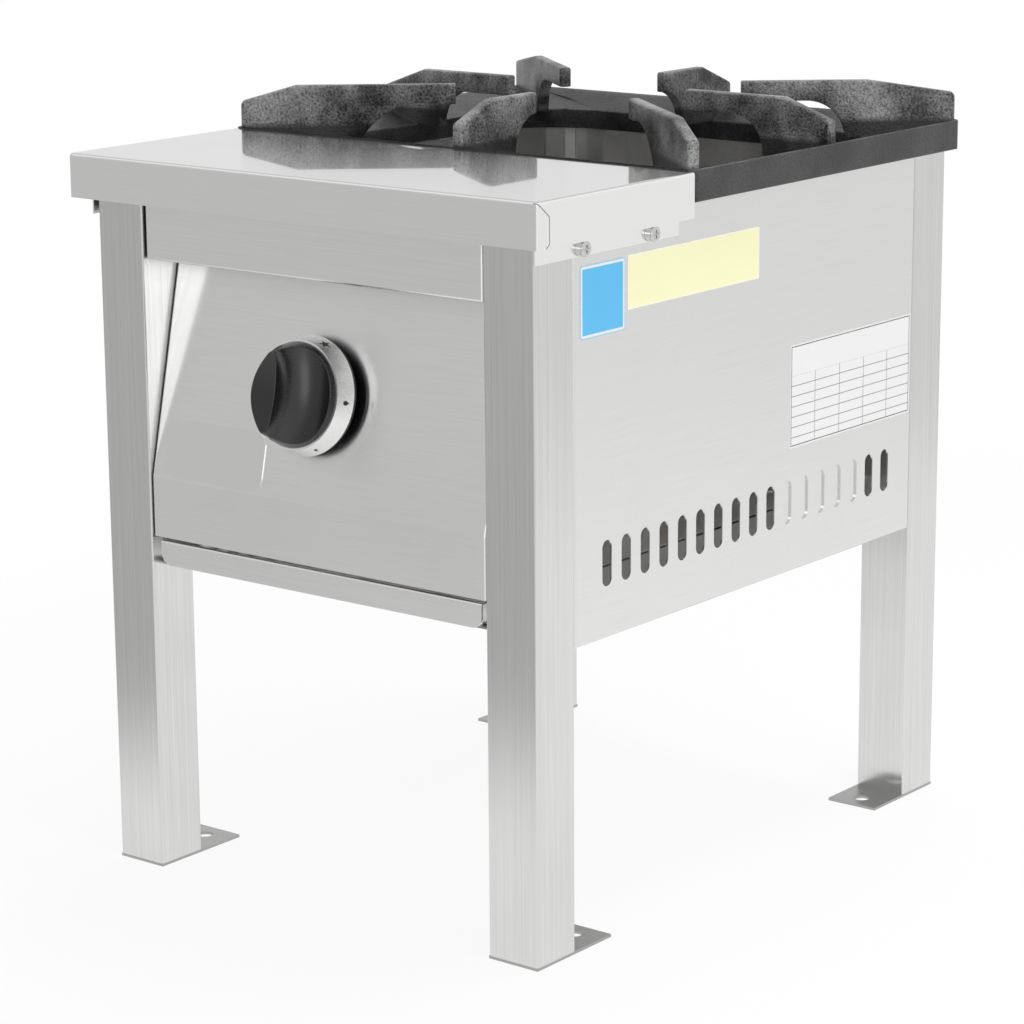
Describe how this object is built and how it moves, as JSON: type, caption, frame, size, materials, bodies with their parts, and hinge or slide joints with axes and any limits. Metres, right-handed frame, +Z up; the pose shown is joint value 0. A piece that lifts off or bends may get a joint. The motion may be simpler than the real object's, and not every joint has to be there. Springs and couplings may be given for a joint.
{
  "type": "stock pot range",
  "caption": "Low free-standing gas stock pot range: four square tube legs, folded steel body, cast iron pot grate, knob on a sloping panel and slide-out drip tray.",
  "frame": {"origin": "on the floor, at the centre of the four anchor holes in the foot plates", "axes": "+X to the right and +Z up; the knob faces -Y, the gas inlet is at +Y"},
  "size_m": [0.4, 0.5426, 0.53],
  "materials": {
    "leg_tube_stainless": "brushed along the tube",
    "panel_stainless": "fine brushed",
    "worktop_stainless": "bright, near mirror on top",
    "bracket_steel": "plain folded sheet",
    "zinc_screws": "bright zinc plate",
    "badge_foil": "satin",
    "grate_cast_iron": "sand cast, black enamelled",
    "burner_cast_iron": "sand cast, bare",
    "cast_aluminium": "die cast",
    "brass_fittings": "turned",
    "steel_spindle": "turned",
    "gas_pipe_steel": "drawn tube",
    "capillary_copper": "drawn copper",
    "knob_black": "moulded thermoset, satin",
    "knob_ring_aluminium": "satin anodised, printed marks"
  },
  "bodies": {
    "stand": {"back_panel": "panel_stainless", "badge_plate": "badge_foil", "burner_body": "burner_cast_iron", "burner_bolts": "zinc_screws", "burner_bridge": "bracket_steel", "control_panel": "panel_stainless", "cover_screws": "zinc_screws", "cover_washers": "zinc_screws", "cross_rail": "bracket_steel", "fascia": "panel_stainless", "feed_pipe": "gas_pipe_steel", "feed_pipe_nuts": "brass_fittings", "foot_plate_front_left": "leg_tube_stainless", "foot_plate_front_right": "leg_tube_stainless", "foot_plate_rear_left": "leg_tube_stainless", "foot_plate_rear_right": "leg_tube_stainless", "gas_inlet_fitting": "brass_fittings", "gas_tap_body": "brass_fittings", "injector": "brass_fittings", "injector_arm": "bracket_steel", "injector_holder": "brass_fittings", "inlet_locknut": "brass_fittings", "leg_front_left": "leg_tube_stainless", "leg_front_right": "leg_tube_stainless", "leg_rear_left": "leg_tube_stainless", "leg_rear_right": "leg_tube_stainless", "mixing_tube": "cast_aluminium", "mixing_tube_bolts": "zinc_screws", "panel_screws": "zinc_screws", "pilot_bracket": "bracket_steel", "pilot_burner": "brass_fittings", "pilot_tube": "capillary_copper", "pipe_clip": "bracket_steel", "side_panel_left": "panel_stainless", "side_panel_right": "panel_stainless", "supply_pipe": "gas_pipe_steel", "supply_pipe_nuts": "brass_fittings", "tap_screws": "zinc_screws", "thermocouple_lead": "capillary_copper", "thermocouple_probe": "steel_spindle", "tray_runner_left": "bracket_steel", "tray_runner_right": "bracket_steel", "worktop": "worktop_stainless"},
    "tap_plunger": {"tap_thrust_washer": "zinc_screws"},
    "knob": {"tap_spindle": "steel_spindle", "knob_grip": "knob_black", "knob_ring": "knob_ring_aluminium"},
    "drip_tray": {"drip_tray": "panel_stainless", "tray_lip": "panel_stainless"},
    "pot_grate": {"pot_grate": "grate_cast_iron"},
    "burner_cap": {"burner_cap": "burner_cast_iron"},
    "air_shutter": {"air_shutter": "cast_aluminium", "air_shutter_screw": "zinc_screws"}
  },
  "joints": [
    {"name": "knob_push", "type": "slide", "parent": "stand", "child": "tap_plunger", "axis": [0, 0.9772, -0.2122], "range_m": [0, 0.004], "stiffness_N_per_m": 1200, "springref_m": -0.004},
    {"name": "knob_turn", "type": "hinge", "parent": "tap_plunger", "child": "knob", "pos_m": [-0.0087, -0.22483, 0.35077], "axis": [0, -0.9772, 0.2122], "range_deg": [0, 152]},
    {"name": "tray_slide", "type": "slide", "parent": "stand", "child": "drip_tray", "axis": [0, -1, 0], "range_m": [0, 0.46]},
    {"name": "grate_lift", "type": "slide", "parent": "stand", "child": "pot_grate", "axis": [0, 0, 1], "range_m": [0, 0.12]},
    {"name": "burner_cap_lift", "type": "slide", "parent": "stand", "child": "burner_cap", "axis": [0, 0, 1], "range_m": [0, 0.16]},
    {"name": "air_shutter_slide", "type": "slide", "parent": "stand", "child": "air_shutter", "axis": [0, -1, 0], "range_m": [0, 0.008]}
  ]
}
